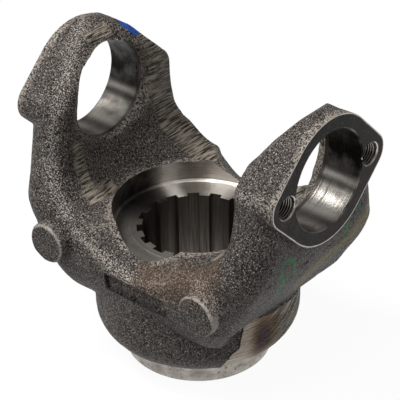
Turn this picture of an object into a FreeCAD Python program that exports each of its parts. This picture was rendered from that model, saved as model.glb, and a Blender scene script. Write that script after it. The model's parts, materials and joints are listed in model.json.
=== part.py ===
import FreeCAD, Part
import math
import os
import re

import Sketcher

# Forged end yoke of a truck propeller shaft: one steel forging, machined.
# X is the axis of the cross bearing bores and Z the axis of the splined hub.
# The origin is on the hub axis, in the end face of the nose that the yoke stands on.
# Lengths are in millimetres and angles in degrees.

SIZES = {
    # ears
    "across_pads": 157.4,
    "cross_axis_height": 124.55,
    "cross_bore_dia": 49.2,
    "cross_bore_chamfer": 0.7,
    "rough_mouth_dia": 53.0,
    "rough_mouth_span": 115.0,
    "pad_round": 32.1,
    "pad_step": 2.6,
    "screw_centres": 61.6,
    "screw_dia": 11.1,
    "screw_depth": 20.0,
    "screw_mouth_dia": 12.3,
    "throat_width": 103.6,
    "throat_height": 80.0,
    "throat_root_round": 22.0,
    "throat_top_height": 158.9,
    "throat_top_round": 30.0,
    "dish_round": 105.0,
    "dish_depth": 2.7,
    "front_rim_round": 10.0,
    "back_rim_round": 2.5,
    # legs
    "leg_slope": 31.2,
    "leg_foot_height": 30.0,
    "leg_foot_width": 86.2,
    "leg_outer_round": 80.0,
    "leg_corner_round": 13.0,
    "flank_width": 104.4,
    "flank_height": 85.0,
    "flank_top_round": 16.0,
    "neck_height": 106.0,
    "neck_round": 60.0,
    "belly_round": 30.0,
    # round bosses on the flanks
    "boss_centres": 95.0,
    "boss_height": 66.7,
    "boss_dia": 21.2,
    "boss_span": 116.6,
    "boss_edge": 1.5,
    # valley across the bridge
    "valley_round": 29.0,
    "valley_floor_height": 71.4,
    "valley_land": 80.0,
    "valley_flare": 35.0,
    # hub
    "hub_dia": 103.0,
    "hub_top_height": 60.0,
    "hub_corner_round": 18.0,
    "hub_end_height": 11.0,
    "shoulder_dia": 76.6,
    "shoulder_height": 7.0,
    "nose_dia": 73.5,
    "nose_chamfer": 1.2,
    "seat_height": 68.65,
    "seat_dia": 83.6,
    "seat_foot_size": 1.2,
    "bore_chamfer": 1.0,
    # spline
    "spline_major_dia": 60.325,
    "spline_minor_dia": 54.9,
    "spline_groove_width": 5.91,
    "spline_count": 16,
}

document = FreeCAD.newDocument("end_yoke")
sheet = document.addObject("Spreadsheet::Sheet", "Sizes")
for row, (alias, size) in enumerate(SIZES.items(), start=1):
    sheet.set(f"A{row}", alias)
    sheet.set(f"B{row}", str(size))
    sheet.setAlias(f"B{row}", alias)
document.recompute()

body = document.addObject("PartDesign::Body", "forged_yoke")
body.Label = "forged_yoke"


def expression(text):
    """Writes each alias in a formula as a cell of the sheet."""
    return re.sub(r"[a-z_]+", lambda word: f"Sizes.{word[0]}" if word[0] in SIZES else word[0], text)


def bind(thing, attribute, text):
    """Ties a size of a feature or constraint to the sheet."""
    thing.setExpression(attribute, expression(text))


def number(text):
    """The present value of a formula of the sheet's sizes."""
    return float(sheet.evalExpression(re.sub(r"Sizes\.", "", expression(text))))


def origin_plane(role):
    """One of the body's own origin planes."""
    return next(item for item in body.Origin.OriginFeatures if item.Role == role)


def new_sketch(name, role, distance=None):
    """An empty sketch on an origin plane, moved along the plane's normal by a bound distance."""
    sketch = body.newObject("Sketcher::SketchObject", name)
    sketch.AttachmentSupport = [(origin_plane(role), "")]
    sketch.MapMode = "FlatFace"
    if distance:
        bind(sketch, "AttachmentOffset.Base.z", distance)
    document.recompute()
    return sketch


def hold(sketch, item, end, place):
    """Binds both coordinates of a point of a sketch."""
    for kind, text in zip(("DistanceX", "DistanceY"), place):
        index = sketch.addConstraint(Sketcher.Constraint(kind, -1, 1, item, end, number(text)))
        bind(sketch, f"Constraints[{index}]", text)


def add_outline(sketch, corners):
    """A closed outline of straight sides through corners, each sharp or rounded by its radius."""
    places = [FreeCAD.Vector(number(corner[0]), number(corner[1]), 0) for corner in corners]
    ends = []
    for index, corner in enumerate(corners):
        here = places[index]
        before = (places[index - 1] - here).normalize()
        after = (places[(index + 1) % len(corners)] - here).normalize()
        if len(corner) < 3:
            ends.append((here, here, None))
            continue
        radius = number(corner[2])
        half = before.getAngle(after) / 2
        reach = radius / math.tan(half)
        middle = here + (before + after).normalize() * (radius / math.sin(half) - radius)
        arc = Part.Arc(here + before * reach, middle, here + after * reach)
        ends.append((here + before * reach, here + after * reach, arc))
    sides = []
    for index in range(len(corners)):
        line = Part.LineSegment(ends[index][1], ends[(index + 1) % len(corners)][0])
        sides.append(sketch.addGeometry(line, False))
    for index, corner in enumerate(corners):
        before, after = sides[index - 1], sides[index]
        arc = ends[index][2]
        if arc is None:
            sketch.addConstraint(Sketcher.Constraint("Coincident", before, 2, after, 1))
            hold(sketch, after, 1, corner)
            continue
        round_item = sketch.addGeometry(arc, False)
        before_line = ends[index][0] - places[index]
        after_line = ends[index][1] - places[index]
        first = 1 if before_line.cross(after_line).z < 0 else 2
        sketch.addConstraint(Sketcher.Constraint("Tangent", before, 2, round_item, first))
        sketch.addConstraint(Sketcher.Constraint("Tangent", after, 1, round_item, 3 - first))
        radius_index = sketch.addConstraint(
            Sketcher.Constraint("Radius", round_item, number(corner[2])))
        bind(sketch, f"Constraints[{radius_index}]", corner[2])
        point = sketch.addGeometry(Part.Point(places[index]), True)
        hold(sketch, point, 1, corner)
        sketch.addConstraint(Sketcher.Constraint("PointOnObject", point, 1, before))
        sketch.addConstraint(Sketcher.Constraint("PointOnObject", point, 1, after))


def mirrored(corners):
    """Corners on one side of the vertical axis, followed by their mirror images."""
    return corners + [(f"-({corner[0]})",) + corner[1:] for corner in reversed(corners)]


def add_circle(sketch, place, diameter):
    """A circle with a bound centre and diameter."""
    centre = FreeCAD.Vector(number(place[0]), number(place[1]), 0)
    circle = Part.Circle(centre, FreeCAD.Vector(0, 0, 1), number(diameter) / 2)
    item = sketch.addGeometry(circle, False)
    hold(sketch, item, 3, place)
    index = sketch.addConstraint(Sketcher.Constraint("Diameter", item, number(diameter)))
    bind(sketch, f"Constraints[{index}]", diameter)


def feature(kind, name, sketch, **settings):
    """A sketch based feature at the end of the body."""
    item = body.newObject(f"PartDesign::{kind}", name)
    item.Profile = sketch
    for attribute, setting in settings.items():
        setattr(item, attribute, setting)
    return item


def finish(item):
    """Recomputes a feature and stops on a failure or an empty cut."""
    document.recompute()
    if "Invalid" in item.State or "Error" in item.State or item.Shape.isNull():
        raise RuntimeError(f"{item.Name} failed: {item.State}")
    print(f"{item.Name}: volume {item.Shape.Volume:.0f}, valid {item.Shape.isValid()}", flush=True)
    return item


def edges_of(item, wanted):
    """Names of the edges of a feature whose middle and curve pass a test."""
    names = []
    for index, edge in enumerate(item.Shape.Edges, start=1):
        middle = edge.valueAt((edge.FirstParameter + edge.LastParameter) / 2)
        if wanted(edge, middle):
            names.append(f"Edge{index}")
    return names


# Pad of each ear: a square on its corner about the bore, with two corners round the screws

PAD_CORNER = "pad_round * sqrt(2)"
LUG_ROUND = "pad_round - screw_centres / 2 / sqrt(2)"
LUG_HALF = "screw_centres / 2 + pad_round - screw_centres / 2 / sqrt(2)"
PAD_HALF = "across_pads / 2"
LEG_HALF = "across_pads / 2 - pad_step"
AXIS = "cross_axis_height"

# Legs and bridge: the front view as a prism, trimmed to the side view

front = new_sketch("front_view", "XZ_Plane")
LEG_KNEE = f"leg_foot_height + ({LEG_HALF} - leg_foot_width / 2) / tan(leg_slope * 1deg)"
add_outline(front, mirrored([
    (LEG_HALF, AXIS),
    (LEG_HALF, LEG_KNEE, "leg_outer_round"),
    ("leg_foot_width / 2", "leg_foot_height"),
]))
blank = feature("Pad", "blank", front, SideType="Symmetric")
bind(blank, "Length", "boss_span")
finish(blank)

side = new_sketch("side_view", "YZ_Plane")
add_outline(side, mirrored([
    ("boss_span", f"{AXIS} + pad_round"),
    ("boss_span", "0 - pad_round"),
]))
add_outline(side, mirrored([
    (LUG_HALF, AXIS),
    (LUG_HALF, "neck_height", "neck_round"),
    ("flank_width / 2", "flank_height", "flank_top_round"),
    ("flank_width / 2", "leg_foot_height", "belly_round"),
]))
trim = feature("Pocket", "side_trim", side, Type="ThroughAll", SideType="Symmetric")
finish(trim)


def straight_up(edge, middle):
    """Edges where the outer faces of the legs meet their flanks."""
    box = edge.BoundBox
    outer = abs(middle.x) > number("leg_foot_width / 2") and abs(middle.y) > number("pad_round / 2")
    return outer and box.ZLength > 1 and box.YLength < box.ZLength * 2


def add_fillet(name, base, names, radius):
    """A fillet of bound radius along named edges of the last feature."""
    item = body.newObject("PartDesign::Fillet", name)
    item.Base = (base, names)
    bind(item, "Radius", radius)
    return finish(item)


def add_chamfer(name, base, names, size):
    """A chamfer of bound size along named edges of the last feature."""
    item = body.newObject("PartDesign::Chamfer", name)
    item.Base = (base, names)
    bind(item, "Size", size)
    return finish(item)


corners = edges_of(trim, straight_up)
add_fillet("leg_corners", trim, corners, "leg_corner_round")

# Hub and nose, turned about the spline axis

HUB_HALF = "hub_dia / 2"
CORNER_RISE = ("sqrt(hub_corner_round ^ 2 - (hub_corner_round - hub_dia / 2 + shoulder_dia / 2) ^ 2)")
section = new_sketch("hub_section", "XZ_Plane")
add_outline(section, [
    ("0", "0"),
    ("nose_dia / 2 - nose_chamfer", "0"),
    ("nose_dia / 2", "nose_chamfer"),
    ("nose_dia / 2", "shoulder_height"),
    ("shoulder_dia / 2", "shoulder_height"),
    ("shoulder_dia / 2", "hub_end_height"),
    (HUB_HALF, f"hub_end_height + {CORNER_RISE}"),
    (HUB_HALF, "hub_top_height"),
    ("0", "hub_top_height"),
])
hub = feature("Revolution", "hub", section)
hub.ReferenceAxis = (section, ["V_Axis"])
finish(hub)

# Round bosses on both flanks

spots = new_sketch("boss_spots", "XZ_Plane")
for side_sign in ("", "-"):
    add_circle(spots, (f"{side_sign}(boss_centres / 2)", "boss_height"), "boss_dia")
bosses = feature("Pad", "flank_bosses", spots, SideType="Symmetric")
bind(bosses, "Length", "boss_span")
finish(bosses)


def boss_face(edge, middle):
    """The rims of the boss faces, in front and behind."""
    circle = isinstance(edge.Curve, Part.Circle) and abs(edge.Curve.Radius - number("boss_dia / 2")) < 0.01
    return circle and abs(abs(middle.y) - number("boss_span / 2")) < 0.01


add_chamfer("boss_edges", bosses, edges_of(bosses, boss_face), "boss_edge")

# Ears: the pad outline right across, then the throat cut between them

pad_view = new_sketch("pad_view", "YZ_Plane")
add_outline(pad_view, [
    ("0", f"{AXIS} + {PAD_CORNER}", "pad_round"),
    (PAD_CORNER, AXIS, LUG_ROUND),
    ("0", f"{AXIS} - {PAD_CORNER}", "pad_round"),
    (f"-({PAD_CORNER})", AXIS, LUG_ROUND),
])
ears = feature("Pad", "ears", pad_view, SideType="Symmetric")
bind(ears, "Length", "across_pads")
finish(ears)

throat_view = new_sketch("throat_view", "XZ_Plane")
add_outline(throat_view, mirrored([
    ("across_pads", f"{AXIS} + 2 * pad_round"),
    ("across_pads", "throat_top_height"),
    ("throat_width / 2", "throat_top_height", "throat_top_round"),
    ("throat_width / 2", "throat_height", "throat_root_round"),
]))


def on_throat(point):
    """Whether a point lies on the outline of the throat in the front view."""
    wall, floor, top = number("throat_width / 2"), number("throat_height"), number("throat_top_height")
    root, bend = number("throat_root_round"), number("throat_top_round")
    x, z = abs(point.x), point.z
    if z < floor + root:
        flat = x < wall - root and abs(z - floor) < 0.01
        return flat or abs(math.hypot(x - wall + root, z - floor - root) - root) < 0.01
    if z > top - bend:
        return abs(math.hypot(x - wall - bend, z - top + bend) - bend) < 0.01
    return abs(x - wall) < 0.01


def cut_throat(name, front, rim_round):
    """Cuts one half of the throat and rounds the rim where it runs out on flanks and ears."""
    def on_rim(edge, middle):
        beside = middle.y < -0.01 if front else middle.y > 0.01
        across = edge.BoundBox.XLength + edge.BoundBox.ZLength > 0.01
        return beside and across and all(on_throat(point) for point in edge.discretize(3))

    half = finish(feature("Pocket", name, throat_view, Type="ThroughAll", Reversed=front))
    add_fillet(f"{name}_rim", half, edges_of(half, on_rim), rim_round)


cut_throat("front_throat", True, "front_rim_round")
cut_throat("back_throat", False, "back_rim_round")


def turned_cut(name, sketch, height):
    """Cuts the sketch turned about a level line at a bound height."""
    level = number(height)
    line = Part.LineSegment(FreeCAD.Vector(0, level, 0), FreeCAD.Vector(1, level, 0))
    item = sketch.addGeometry(line, True)
    hold(sketch, item, 1, ("0", height))
    hold(sketch, item, 2, ("1", height))
    cut = feature("Groove", name, sketch)
    cut.ReferenceAxis = (sketch, ["Axis0"])
    return finish(cut)


# Dish down the inner face of each ear, swept along the wall of the throat

ROOT_END = "throat_width / 2 - throat_root_round"


def add_path(sketch):
    """The wall of one ear in the front view, from the floor of the throat up to the bore: arc and line."""
    wall, root = number("throat_width / 2"), number("throat_root_round")
    centre = FreeCAD.Vector(wall - root, number("throat_height") + root, 0)
    circle = Part.Circle(centre, FreeCAD.Vector(0, 0, 1), root)
    foot = sketch.addGeometry(Part.ArcOfCircle(circle, -math.pi / 2, 0), False)
    top = FreeCAD.Vector(wall, number(AXIS), 0)
    side = sketch.addGeometry(Part.LineSegment(FreeCAD.Vector(wall, centre.y, 0), top), False)
    sketch.addConstraint(Sketcher.Constraint("Tangent", foot, 2, side, 1))
    hold(sketch, foot, 1, (ROOT_END, "throat_height"))
    hold(sketch, foot, 3, (ROOT_END, "throat_height + throat_root_round"))
    hold(sketch, side, 2, ("throat_width / 2", AXIS))


DISH_HALF = "sqrt(2 * dish_round * dish_depth - dish_depth ^ 2)"


def add_bowl(sketch):
    """The dish across the ear where the path starts: a shallow arc below, closed by three lines above."""
    half, depth, floor = number(DISH_HALF), number("dish_depth"), number("throat_height")
    places = [(-half, floor), (-half, floor + depth), (half, floor + depth), (half, floor)]
    corners = [FreeCAD.Vector(across, up, 0) for across, up in places]
    lines = [Part.LineSegment(start, end) for start, end in zip(corners, corners[1:])]
    left, top, right = [sketch.addGeometry(line, False) for line in lines]
    lowest = FreeCAD.Vector(0, floor - depth, 0)
    arc = sketch.addGeometry(Part.Arc(corners[0], lowest, corners[3]), False)
    sketch.addConstraint(Sketcher.Constraint("Coincident", left, 2, top, 1))
    sketch.addConstraint(Sketcher.Constraint("Coincident", top, 2, right, 1))
    sketch.addConstraint(Sketcher.Constraint("Coincident", right, 2, arc, 2))
    sketch.addConstraint(Sketcher.Constraint("Coincident", left, 1, arc, 1))
    hold(sketch, left, 1, (f"-({DISH_HALF})", "throat_height"))
    hold(sketch, right, 2, (DISH_HALF, "throat_height"))
    hold(sketch, top, 1, (f"-({DISH_HALF})", "throat_height + dish_depth"))
    hold(sketch, top, 2, (DISH_HALF, "throat_height + dish_depth"))
    index = sketch.addConstraint(Sketcher.Constraint("Radius", arc, number("dish_round")))
    bind(sketch, f"Constraints[{index}]", "dish_round")


dish_path = new_sketch("dish_path", "XZ_Plane")
add_path(dish_path)
dish_view = new_sketch("dish_view", "YZ_Plane", ROOT_END)
add_bowl(dish_view)
document.recompute()
dish = body.newObject("PartDesign::SubtractivePipe", "right_dish")
dish.Profile = dish_view
dish.Spine = dish_path
finish(dish)
dishes = body.newObject("PartDesign::Mirrored", "both_dishes")
dishes.Originals = [dish]
dishes.MirrorPlane = (origin_plane("YZ_Plane"), [""])
body.Tip = dishes
finish(dishes)

# Valley across the bridge, flaring outwards past the hub bore

VALLEY_AXIS = "valley_floor_height + valley_round"
REACH = "boss_span / 2 + valley_round"
FLARE = f"valley_round + ({REACH} - valley_land / 2) * tan(valley_flare * 1deg)"
valley_view = new_sketch("valley_view", "YZ_Plane")
add_outline(valley_view, [
    (REACH, VALLEY_AXIS),
    (f"-({REACH})", VALLEY_AXIS),
    (f"-({REACH})", f"{VALLEY_AXIS} - ({FLARE})"),
    ("-(valley_land / 2)", "valley_floor_height"),
    ("valley_land / 2", "valley_floor_height"),
    (REACH, f"{VALLEY_AXIS} - ({FLARE})"),
])
turned_cut("valley", valley_view, VALLEY_AXIS)

# Turned seat and splined bore of the hub

seat_view = new_sketch("seat_view", "XY_Plane", "seat_height")
add_circle(seat_view, ("0", "0"), "seat_dia")
seat = feature("Pocket", "seat", seat_view, Type="ThroughAll", Reversed=True)
finish(seat)


def circle_at(item, radius, height):
    """Names of the circular edges about the hub axis of one radius and height."""
    def wanted(edge, middle):
        box = edge.BoundBox
        level = abs(box.ZMin - height) < 0.01 and abs(box.ZMax - height) < 0.01
        return level and abs(math.hypot(middle.x, middle.y) - radius) < 0.01
    return edges_of(item, wanted)


foot = circle_at(seat, number("seat_dia / 2"), number("seat_height"))
add_chamfer("seat_foot", seat, foot, "seat_foot_size")

bore_view = new_sketch("bore_view", "XY_Plane")
add_circle(bore_view, ("0", "0"), "spline_minor_dia")
bore = feature("Pocket", "hub_bore", bore_view, Type="ThroughAll", SideType="Symmetric")
finish(bore)
rim = circle_at(bore, number("spline_minor_dia / 2"), 0)
add_chamfer("bore_end", bore, rim, "bore_chamfer")

groove_view = new_sketch("groove_view", "XY_Plane")
GROOVE_END = "sqrt((spline_major_dia / 2) ^ 2 - (spline_groove_width / 2) ^ 2)"
add_outline(groove_view, [
    ("spline_minor_dia / 4", "-(spline_groove_width / 2)"),
    (GROOVE_END, "-(spline_groove_width / 2)"),
    (GROOVE_END, "spline_groove_width / 2"),
    ("spline_minor_dia / 4", "spline_groove_width / 2"),
])
groove = feature("Pocket", "spline_groove", groove_view, Type="ThroughAll", SideType="Symmetric")
finish(groove)
spline = body.newObject("PartDesign::PolarPattern", "spline")
spline.Originals = [groove]
spline.Axis = (origin_plane("Z_Axis"), [""])
spline.Angle = 360
bind(spline, "Occurrences", "spline_count")
body.Tip = spline
finish(spline)

# Cross bearing bores: a rough forged mouth inside, turned bore and chamfer outside

mouth_view = new_sketch("mouth_view", "XZ_Plane")
add_outline(mouth_view, mirrored([
    ("rough_mouth_span / 2", AXIS),
    ("rough_mouth_span / 2", f"{AXIS} + cross_bore_dia / 2"),
    ("throat_width / 2 + dish_depth", f"{AXIS} + rough_mouth_dia / 2"),
    ("throat_width / 4", f"{AXIS} + rough_mouth_dia / 2"),
]))
turned_cut("rough_mouths", mouth_view, AXIS)

cross_view = new_sketch("cross_view", "YZ_Plane")
add_circle(cross_view, ("0", AXIS), "cross_bore_dia")
cross = feature("Pocket", "cross_bores", cross_view, Type="ThroughAll", SideType="Symmetric")
finish(cross)


def outer_rim(edge, middle):
    """The rims of the cross bores in the pads."""
    reach = math.hypot(middle.y, middle.z - number(AXIS))
    on_pad = abs(abs(middle.x) - number(PAD_HALF)) < 0.01
    return on_pad and abs(reach - number("cross_bore_dia / 2")) < 0.01


add_chamfer("cross_bore_ends", cross, edges_of(cross, outer_rim), "cross_bore_chamfer")

# Cap screw holes

screw_view = new_sketch("screw_view", "YZ_Plane", PAD_HALF)
for side_sign in ("", "-"):
    add_circle(screw_view, (f"{side_sign}(screw_centres / 2)", AXIS), "screw_dia")
document.recompute()
screws = feature("Hole", "screw_holes", screw_view)
screws.DepthType = "Dimension"
screws.DrillPoint = "Angled"
screws.HoleCutType = "Countersink"
screws.HoleCutCountersinkAngle = 90
bind(screws, "Diameter", "screw_dia")
bind(screws, "Depth", "screw_depth")
bind(screws, "HoleCutDiameter", "screw_mouth_dia")
finish(screws)
both = body.newObject("PartDesign::Mirrored", "screw_holes_both")
both.Originals = [screws]
both.MirrorPlane = (origin_plane("YZ_Plane"), [""])
body.Tip = both
finish(both)

os.makedirs("parts", exist_ok=True)
for item in body.Group:
    if "Invalid" in item.State or "Error" in item.State:
        raise RuntimeError(f"{item.Name} failed: {item.State}")
if body.Shape.isNull() or not body.Shape.isValid() or len(body.Shape.Solids) != 1:
    raise RuntimeError("the yoke is not one valid solid")
body.Shape.exportStep("parts/forged_yoke.step")
print(f"forged_yoke: {body.Shape.Volume / 1000:.1f} cm3")
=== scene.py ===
import json
import math

import bpy
import numpy as np
from mathutils import Matrix, Vector


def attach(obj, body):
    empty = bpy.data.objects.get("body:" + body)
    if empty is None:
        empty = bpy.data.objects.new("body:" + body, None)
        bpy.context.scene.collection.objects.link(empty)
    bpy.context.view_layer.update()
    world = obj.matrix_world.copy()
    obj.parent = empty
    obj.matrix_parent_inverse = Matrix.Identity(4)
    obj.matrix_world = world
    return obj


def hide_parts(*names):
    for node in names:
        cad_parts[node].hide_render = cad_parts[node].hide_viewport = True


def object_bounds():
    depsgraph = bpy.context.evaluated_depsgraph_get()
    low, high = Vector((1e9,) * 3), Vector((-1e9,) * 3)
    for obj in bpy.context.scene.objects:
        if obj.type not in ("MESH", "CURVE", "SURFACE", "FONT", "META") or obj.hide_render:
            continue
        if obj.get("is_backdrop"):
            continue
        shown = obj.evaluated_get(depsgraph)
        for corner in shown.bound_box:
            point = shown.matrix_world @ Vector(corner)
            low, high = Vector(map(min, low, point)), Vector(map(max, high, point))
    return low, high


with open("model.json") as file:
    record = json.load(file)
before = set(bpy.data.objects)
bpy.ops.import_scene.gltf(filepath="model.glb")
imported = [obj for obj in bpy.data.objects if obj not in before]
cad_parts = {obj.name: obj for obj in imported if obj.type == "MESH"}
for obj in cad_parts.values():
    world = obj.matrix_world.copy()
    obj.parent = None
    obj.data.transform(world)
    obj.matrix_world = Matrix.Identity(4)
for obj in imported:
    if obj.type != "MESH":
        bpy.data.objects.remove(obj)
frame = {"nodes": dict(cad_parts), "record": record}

# Forged steel end yoke: blasted forge scale, with turned bores and seat, a milled pad on each ear,
# a broached spline, four tapped holes, sheared flash lines and a ground patch on the hub.
# Shapes are worked out in millimetres and given to Blender in metres.

bl_info = {
    "name": "Forged yoke finish",
    "version": (1, 0, 0),
    "blender": (4, 5, 0),
    "location": "View3D > Sidebar > Yoke",
    "description": "Gives the forged yoke its blasted skin, machined faces, threads and marks",
    "category": "Object",
}

NODE = "forged_yoke"
CAD_LOW, CAD_HIGH = (np.array(corner) * 1000 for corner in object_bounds())


def mount(name):
    """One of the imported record's interfaces."""
    return next(item for item in frame["record"]["mounts"] if item["name"] == name)


CROSS_HEIGHT = mount("cross_bore")["pos_m"][2] * 1000
CROSS_RADIUS = mount("cross_bore")["dims"]["r_mm"]
PAD_REACH = mount("pad_right")["pos_m"][0] * 1000
SCREW_RADIUS = mount("cap_screws_right")["dims"]["hole_r_mm"]
SCREW_OFFSET = mount("cap_screws_right")["dims"]["spacing_x_mm"] / 2
SEAT_HEIGHT = mount("seat_face")["pos_m"][2] * 1000
NOSE_RADIUS = mount("nose_pilot")["dims"]["r_mm"]
SPLINE_RADIUS = mount("spline")["dims"]["r_mm"]
SEAT_RADIUS = 41.8
SHOULDER_RADIUS = 38.3
SHOULDER_TOP = 11.0
HUB_RADIUS = 51.5
PER_DEGREE = math.radians(HUB_RADIUS)
CORNER_ROUND = 18.0
BOSS_PLACE = (47.5, 66.7)
BOSS_RADIUS = 9.8
BORE_START = 57.5
PAD_ROUND = 32.1
LUG_ROUND = PAD_ROUND - SCREW_OFFSET / math.sqrt(2)

# Turned faces above the first height belong to the cross bores, those down to the second to the seat,
# and the rest to the nose. FAR and CLEAR stand for a distance at which a mark has no effect.
BORES_ABOVE = 90
SEAT_ABOVE = 40
FAR = 40.0
CLEAR = 9.0


def linear(code):
    """Turns an sRGB hex colour into the linear colour that a shader takes."""
    parts = np.array([int(code[i:i + 2], 16) for i in (1, 3, 5)]) / 255
    values = np.where(parts <= 0.04045, parts / 12.92, ((parts + 0.055) / 1.055) ** 2.4)
    return tuple(float(value) for value in values)


def tint(label, code, words):
    """A colour that the panel shows, with its default as a hex code."""
    return bpy.props.FloatVectorProperty(
        name=label, description=words, subtype="COLOR", size=4, min=0, max=1,
        default=(*linear(code), 1))


def span(label, value, words):
    """A length that the panel shows, in metres."""
    return bpy.props.FloatProperty(
        name=label, description=words, default=value, min=0, unit="LENGTH", precision=5)


class YokeSizes(bpy.types.PropertyGroup):
    """Sizes of the skin's grain, the marks and the threads."""
    skin_side: span("Skin triangle", 0.0031, "Longest side of a triangle on the forged skin")
    fine_side: span("Fine triangle", 0.00115, "Longest side of a triangle beside a mark")
    swell: span("Skin swell", 0.00022, "Height of the slow waves that the dies leave in the skin")
    dents: span("Skin dents", 0.00022, "Depth of the dents of handling and blasting")
    grit: span("Blast grain", 0.0010, "Width of one crater of the blasted skin")
    crater: span("Crater depth", 0.0007, "Depth of the craters of the blasted skin")
    stroke: span("Shear stroke", 0.0008, "Distance between the strokes of a sheared flash line")
    grind: span("Grinding line", 0.0009, "Distance between the lines of the ground patch")
    patch_depth: span("Patch depth", 0.0006, "Depth of the ground patch below the skin")
    panel_depth: span("Panel depth", 0.0011, "Depth of the bare sunk panel on the front flank")
    feed: span("Turning feed", 0.0007, "Distance between the tool's rings, drawn coarse so that they show")
    thread_pitch: span("Thread pitch", 0.00127, "Distance from crest to crest in the tapped holes")
    thread_depth: span("Thread depth", 0.00062, "How far a crest stands into a tapped hole")


class YokeColours(bpy.types.PropertyGroup):
    """Colours of the metal, its stains and its paint marks."""
    pit: tint("Pit", "#120f0d", "Bottom of the craters in the forge scale")
    scale: tint("Scale", "#58514c", "Forge scale after blasting")
    # Painted glints: grains drawn bright as if they caught the light, also on the bosses' rims
    grain: tint("Bright grain", "#b8afa7", "Grains of the scale that catch the light")
    worn: tint("Worn edge", "#938a80", "Edges and bosses rubbed bare")
    sheared: tint("Sheared steel", "#958b7d", "Strokes of the sheared flash lines")
    ground: tint("Ground steel", "#b0a69b", "Ground steel of the hub's patch")
    turned: tint("Turned steel", "#bdb8b1", "Freshly turned steel")
    # Nearly black; turned steel also takes this colour for its painted shade
    milled: tint("Milled pad", "#131110", "Milled face under a film of dark oil")
    broached: tint("Broached steel", "#7d7770", "Oiled steel in the spline")
    rust: tint("Rust", "#6b4c2c", "Thin yellow brown rust stain")
    straw: tint("Straw", "#5f4a31", "Straw colour of ground steel that ran hot")
    olive: tint("Olive stain", "#857a4c", "Olive stain of old preserving oil")
    violet: tint("Violet", "#3a2c36", "Violet colour of ground steel that ran hotter")
    green: tint("Green paint", "#1c6b34", "Inspector's green paint mark")
    blue: tint("Blue paint", "#154a9c", "Inspector's blue paint mark")


# Surface of the forging as arrays of points and triangles

SKIN, TURNED, MILLED, BROACHED, TAPPED = range(5)
MACHINED_SIDE = 2.5


def cad_surface(node):
    """Points in millimetres and triangles of a node, with points closer than 0.01 mm made one."""
    mesh = frame["nodes"][node].data
    points = np.empty(len(mesh.vertices) * 3)
    mesh.vertices.foreach_get("co", points)
    points = points.reshape(-1, 3) * 1000
    mesh.calc_loop_triangles()
    corners = np.empty(len(mesh.loop_triangles) * 3, np.int32)
    mesh.loop_triangles.foreach_get("vertices", corners)
    keys = np.round(points * 100).astype(np.int64)
    _, first, where = np.unique(keys, axis=0, return_index=True, return_inverse=True)
    triangles = where.reshape(-1)[corners].reshape(-1, 3)
    a, b, c = triangles.T
    return points[first], triangles[(a != b) & (b != c) & (c != a)]


def corner_sides(triangles, count):
    """Each side once, as a pair of points, and the number of the side at each corner of each triangle."""
    ends = np.sort(np.stack([triangles, np.roll(triangles, -1, axis=1)], axis=-1).reshape(-1, 2), axis=1)
    keys, where = np.unique(ends[:, 0] * count + ends[:, 1], return_inverse=True)
    return np.stack([keys // count, keys % count], axis=1), where.reshape(-1, 3)


def halved(points, triangles, zone, limit, rounds=16):
    """Halves the longest side of triangles until none is over the length that limit gives at its middle.

    A side is marked where it is the longest of a triangle and too long. A triangle with one, two or
    three marked sides becomes two, three or four triangles. Sides on machined faces may be
    MACHINED_SIDE times as long.
    """
    for _ in range(rounds):
        pairs, where = corner_sides(triangles, len(points))
        middles = points[pairs].mean(axis=1)
        length = np.linalg.norm(points[pairs[:, 0]] - points[pairs[:, 1]], axis=1)
        over = length / limit(middles)
        chosen = where[np.arange(len(triangles)), np.argmax(length[where], axis=1)]
        marked = np.zeros(len(pairs), bool)
        marked[chosen[over[chosen] > np.where(zone == SKIN, 1.0, MACHINED_SIDE)]] = True
        if not marked.any():
            break
        number = np.full(len(pairs), -1)
        number[marked] = len(points) + np.arange(marked.sum())
        points = np.concatenate([points, middles[marked]])
        cut = number[where]
        count = (cut >= 0).sum(axis=1)
        first = np.where(count == 2, np.argmax(cut < 0, axis=1), np.argmax(cut >= 0, axis=1))
        order = (first[:, None] + np.arange(3)) % 3
        a, b, c = np.take_along_axis(triangles, order, axis=1).T
        d, e, f = np.take_along_axis(cut, order, axis=1).T
        cases = (
            (0, ((a, b, c),)),
            (1, ((a, d, c), (d, b, c))),
            (2, ((e, c, f), (a, b, e), (a, e, f))),
            (3, ((a, d, f), (d, b, e), (f, e, c), (d, e, f))),
        )
        triangles = np.concatenate([
            np.stack(corners, axis=1)[count == cuts] for cuts, pieces in cases for corners in pieces])
        zone = np.concatenate([zone[count == cuts] for cuts, pieces in cases for _ in pieces])
    return points, triangles, zone


def neighbour_mean(points, pairs, values):
    """Mean of a value over the points that share a side with each point."""
    a, b = pairs.T
    total = np.stack([np.bincount(a, column[b], len(points)) + np.bincount(b, column[a], len(points))
                      for column in values.T], axis=1)
    count = np.bincount(pairs.ravel(), minlength=len(points))
    return total / np.maximum(count, 1)[:, None]


def point_normals(points, triangles):
    """Normal at each point: the sum of its triangles' cross products, made unit length."""
    a, b, c = (points[triangles[:, i]] for i in range(3))
    normal = np.cross(b - a, c - a)
    total = np.stack([sum(np.bincount(triangles[:, i], normal[:, k], len(points)) for i in range(3))
                      for k in range(3)], axis=1)
    return total / np.maximum(np.linalg.norm(total, axis=1), 1e-12)[:, None]


LATTICE = 32


def noise(points, width, seed):
    """Random height in -1 to 1: values on a lattice a width apart, blended by 3t^2 - 2t^3 along each axis."""
    table = np.random.default_rng(seed).uniform(-1, 1, (LATTICE, LATTICE, LATTICE)).astype(np.float32)
    place = points / width + 16 * LATTICE
    cell = np.floor(place).astype(int)
    part = place - cell
    part = part * part * (3 - 2 * part)
    total = np.zeros(len(points))
    for step in np.ndindex(2, 2, 2):
        weight = np.where(step, part, 1 - part).prod(axis=1)
        x, y, z = ((cell + step) % LATTICE).T
        total += weight * table[x, y, z]
    return total


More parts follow.
